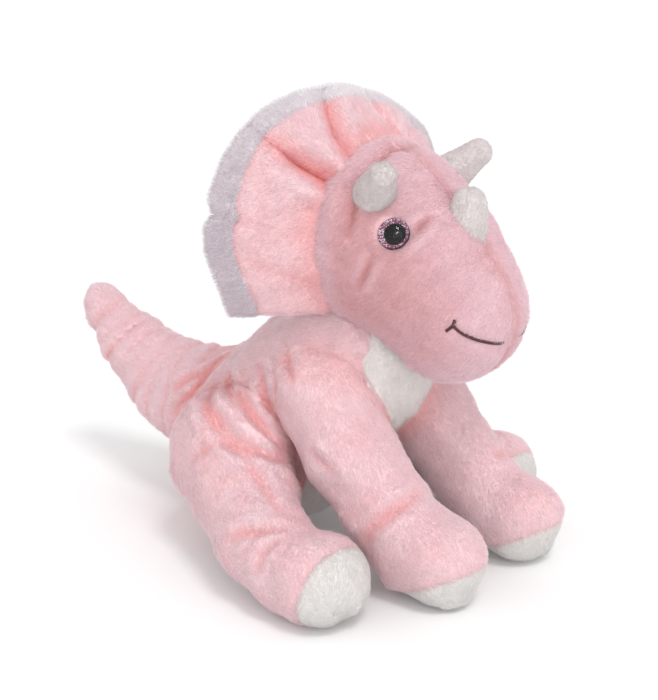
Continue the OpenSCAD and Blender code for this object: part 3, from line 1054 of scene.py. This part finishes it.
def horn_field(base, tip, base_r, tip_r):
    """A stubby cone with a gathered tip."""
    length = np.linalg.norm(tip - base)
    axis = (tip - base) / length
    side = np.cross(axis, [0.3, 1, 0])
    side /= np.linalg.norm(side)
    other = np.cross(axis, side)

    def field(points):
        d = round_bar(points, (*base, base_r), (*tip, tip_r))
        rel = points - base
        up = rel @ axis / length
        angle = np.arctan2(rel @ side, rel @ other)
        pleats = np.abs(np.sin(2.5 * angle + 0.6)) ** 0.7 - 0.6
        near_tip = np.exp(-(((up - 1.25) / 0.35) ** 2))
        pucker = np.exp(-(np.linalg.norm(points - tip - axis * tip_r, axis=1) / 2.2))
        return d - 0.9 * pleats * near_tip + 1.6 * pucker - 0.35 * lumps(points, 12, 31)

    return field


def horn_piece(name, node, base, tip, base_r, tip_r):
    low = np.minimum(base, tip) - base_r - 5
    high = np.maximum(base, tip) + base_r + 5
    field = horn_field(base, tip, base_r, tip_r)
    vertices, quads = skin_mesh(field, [], low, high, cell=1.0)
    along = np.tile(tip - base, (len(vertices), 1))
    obj = plush_object(name, HORN, vertices, quads, unit(slope(field, vertices)), along, lean=1.2)
    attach(obj, "head")
    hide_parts(node, node + "_stuffing")


brow_base, brow_tip = NECK + [-27, -18, 66], NECK + [-39, -32.5, 80.5]
horn_piece("right_brow_horn_plush", "right_brow_horn", brow_base, brow_tip, 10.8, 6.2)
horn_piece("left_brow_horn_plush", "left_brow_horn", brow_base * MIRROR, brow_tip * MIRROR, 10.8, 6.2)
horn_piece("nose_horn_plush", "nose_horn", NECK + [-1.5, -51, 41.5], NECK + [-1, -54, 64.3], 12.6, 7.8)


# ------------------------------ threads


def thread_material(slot, colour, shade):
    """Twisted embroidery thread."""
    material, n = new_material(slot)
    twist = {"Vector": n.place, "Scale": 1600.0, "Distortion": 2.0}
    strands = n.add("ShaderNodeTexWave", twist, bands_direction="DIAGONAL").outputs["Fac"]
    more = {"Normal": n.bump(strands, 0.7, 0.0003), "Sheen Weight": 0.2}
    n.output(n.principled(n.mix_colour(strands, shade, colour), n.ramp(strands, 0.45, 0.7), more))
    return material


def thread(name, runs, radius, material):
    """Round thread along one or more runs of points."""
    data = bpy.data.curves.new(name, "CURVE")
    data.dimensions = "3D"
    data.bevel_depth = radius * MM
    data.bevel_resolution = 3
    data.use_fill_caps = True
    for run in runs:
        spline = data.splines.new("NURBS")
        spline.points.add(len(run) - 1)
        for point, place in zip(spline.points, run):
            point.co = (*(place * MM), 1.0)
        spline.use_endpoint_u = True
        spline.order_u = 3
    data.materials.append(material)
    obj = new_object(name, data)
    return obj


def laid_on(field, points, lift):
    """Points brought onto a skin, then lifted off it."""
    points = settle(field, points, 4)
    return points + lift * unit(slope(field, points))


smile = np.vstack([SMILE, SMILE[-2::-1] * MIRROR])
sunk = np.exp(-((smile[:, :1] / 8) ** 4))  # the pile closes over the middle of the smile
smile = laid_on(head_field, smile, 0.55 - 1.4 * sunk)
corners = []
for mirror in (np.ones(3), MIRROR):
    for end in ((-28.6, -66.6, 16.5), (-30.6, -63.2, 11.1)):
        ends = np.array([SMILE[0], NECK + end]) * mirror
        corners.append(laid_on(head_field, np.linspace(*ends, 4), 0.6))
MOUTH_THREAD = thread_material("mouth_thread", rgb(104, 16, 40), rgb(52, 6, 20))
mouth = thread("mouth_embroidery", [smile, *corners], 0.8, MOUTH_THREAD)
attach(mouth, "head")
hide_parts("mouth_stitching")

low, high = [np.array(c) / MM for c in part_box("closing_stitches")]
stitches = []
for t in np.linspace(0, 1, 6):
    place = np.array([0, high[1] + t * (low[1] - high[1]), low[2] + t * (high[2] - low[2])])
    across = place + np.linspace(low[0], high[0], 5)[:, None] * [1, 0, 0]
    stitches.append(laid_on(body_field, across, 0.6))
PINK_THREAD = thread_material("pink_thread", rgb(244, 190, 196), rgb(226, 150, 158))
closing = thread("closing_ladder_stitches", stitches, 0.5, PINK_THREAD)
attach(closing, "torso")
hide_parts("closing_stitches")


# ------------------------------ eyes and inner parts


def lens_material():
    """Clear domed plastic, moulded onto the iris without a gap of air, so it hardly bends the light."""
    material, n = new_material("eye_lens")
    clear = {"IOR": 1.03, "Transmission Weight": 1.0, "Coat Weight": 0.4, "Coat Roughness": 0.04}
    n.output(n.principled((0.98, 0.97, 0.98, 1), n.ramp(n.noise(500.0), 0.0, 0.03), clear))
    return material


def glitter_material():
    """Mauve paint full of small bright flakes, round a printed black middle."""
    material, n = new_material("eye_glitter")
    flakes = n.add("ShaderNodeTexVoronoi", {"Vector": n.place, "Scale": 2200.0})
    chance = n.add("ShaderNodeSeparateColor", {"Color": flakes.outputs["Color"]}).outputs["Red"]
    ground = n.mix_colour(n.noise(260.0), rgb(84, 22, 52), rgb(158, 84, 120))
    colour = n.mix_colour(n.ramp(chance, 0.0, 1.0, 0.68, 0.84), ground, rgb(250, 236, 246))
    reaches = []
    for eye in EYES:
        gap = {0: n.place, 1: tuple((eye + PUPIL_SHIFT) * MM)}
        reaches.append(n.add("ShaderNodeVectorMath", gap, operation="DISTANCE").outputs["Value"])
    reach = n.add("ShaderNodeMath", dict(enumerate(reaches)), operation="MINIMUM").outputs["Value"]
    rim = n.ramp(reach, 0.0, 1.0, 0.0050, 0.0053)
    colour = n.mix_colour(rim, rgb(9, 8, 12), colour)
    relief = n.add("ShaderNodeMath", {0: chance, 1: rim}, operation="MULTIPLY").outputs["Value"]
    more = {"Metallic": 0.3, "Specular IOR Level": 0.1, "Normal": n.bump(relief, 0.6, 0.0004)}
    n.output(n.principled(colour, n.ramp(chance, 0.5, 0.2), more))
    return material


def plain_plastic(name, colour, shade, roughness, gloss=0.5):
    """Moulded plastic with a faint cloudiness."""
    material, n = new_material(name)
    cloud = n.noise(300.0, 3.0)
    rough = n.ramp(cloud, roughness * 0.8, roughness * 1.2)
    more = {"Normal": n.bump(cloud, 0.15, 0.0002), "Specular IOR Level": gloss}
    n.output(n.principled(n.mix_colour(cloud, shade, colour), rough, more))
    return material


def fibre_material():
    """Loose white polyester fibre."""
    material, n = new_material("stuffing")
    wisps = n.noise(240.0, 5.0, Distortion=1.5)
    colour = n.mix_colour(wisps, rgb(226, 222, 214), rgb(250, 248, 242))
    n.output(n.principled(colour, 0.95, {"Normal": n.bump(wisps, 0.8, 0.001), "Sheen Weight": 0.4}))
    return material


KEPT = {
    "eye_lens": lens_material(),
    "eye_iris": glitter_material(),
    "eye_pupil": plain_plastic("eye_pupil", rgb(9, 8, 12), rgb(4, 4, 6), 0.8, gloss=0.05),
    "eye_shank": plain_plastic("eye_shank", rgb(44, 44, 48), rgb(30, 30, 33), 0.45),
    "eye_washer": plain_plastic("eye_washer", rgb(236, 236, 232), rgb(216, 216, 212), 0.5),
    "neck_stuffing": fibre_material(),
}
for node, obj in frame["nodes"].items():
    for ending, material in KEPT.items():
        if node.endswith(ending):
            for slot in obj.material_slots:
                slot.material = material


# ------------------------------ camera, light and floor


def make_camera():
    data = bpy.data.cameras.new("camera")
    data.lens = 82.95
    data.sensor_width = 36.0
    camera = new_object("camera", data)
    camera.location = (-0.6142, -0.5248, 0.3355)
    look_at = Vector((-0.017, -0.0438, 0.106))
    camera.rotation_mode = "QUATERNION"
    camera.rotation_quaternion = (look_at - camera.location).to_track_quat("-Z", "Y")
    bpy.context.scene.camera = camera


def make_sun(name, towards, spread, strength):
    """Soft light without falloff, so the floor stays evenly white; towards points at the light."""
    data = bpy.data.lights.new(name, "SUN")
    data.angle = math.radians(spread)
    data.energy = strength
    light = new_object(name, data)
    light.location = towards * 1.5
    light.rotation_mode = "QUATERNION"
    light.rotation_quaternion = towards.to_track_quat("Z", "Y")


def make_floor():
    side = 12 / MM
    corners = np.array([(-side, -side, 0), (side, -side, 0), (side, side, 0), (-side, side, 0)])
    material, n = new_material("studio_floor")
    glow = {"Specular IOR Level": 0.1, "Emission Color": (1, 1, 1, 1), "Emission Strength": 0.04}
    n.output(n.principled((0.9, 0.9, 0.9, 1), n.ramp(n.noise(3.0), 0.85, 0.95), glow))
    mesh_object("studio_floor", corners, [(0, 1, 2, 3)], material)


make_camera()
make_floor()
make_sun("key", Vector((-0.25, -0.433, 0.866)), 16, 0.87)
make_sun("fill", Vector((-0.6, -0.74, 0.28)), 60, 1.0)
world = bpy.data.worlds.new("studio")
world.use_nodes = True
background = world.node_tree.nodes["Background"].inputs
background["Color"].default_value = (1, 1, 1, 1)
background["Strength"].default_value = 0.84
scene = bpy.context.scene
scene.world = world
scene.view_settings.view_transform = "Standard"
scene.view_settings.look = "None"
scene.cycles_curves.shape = "RIBBONS"
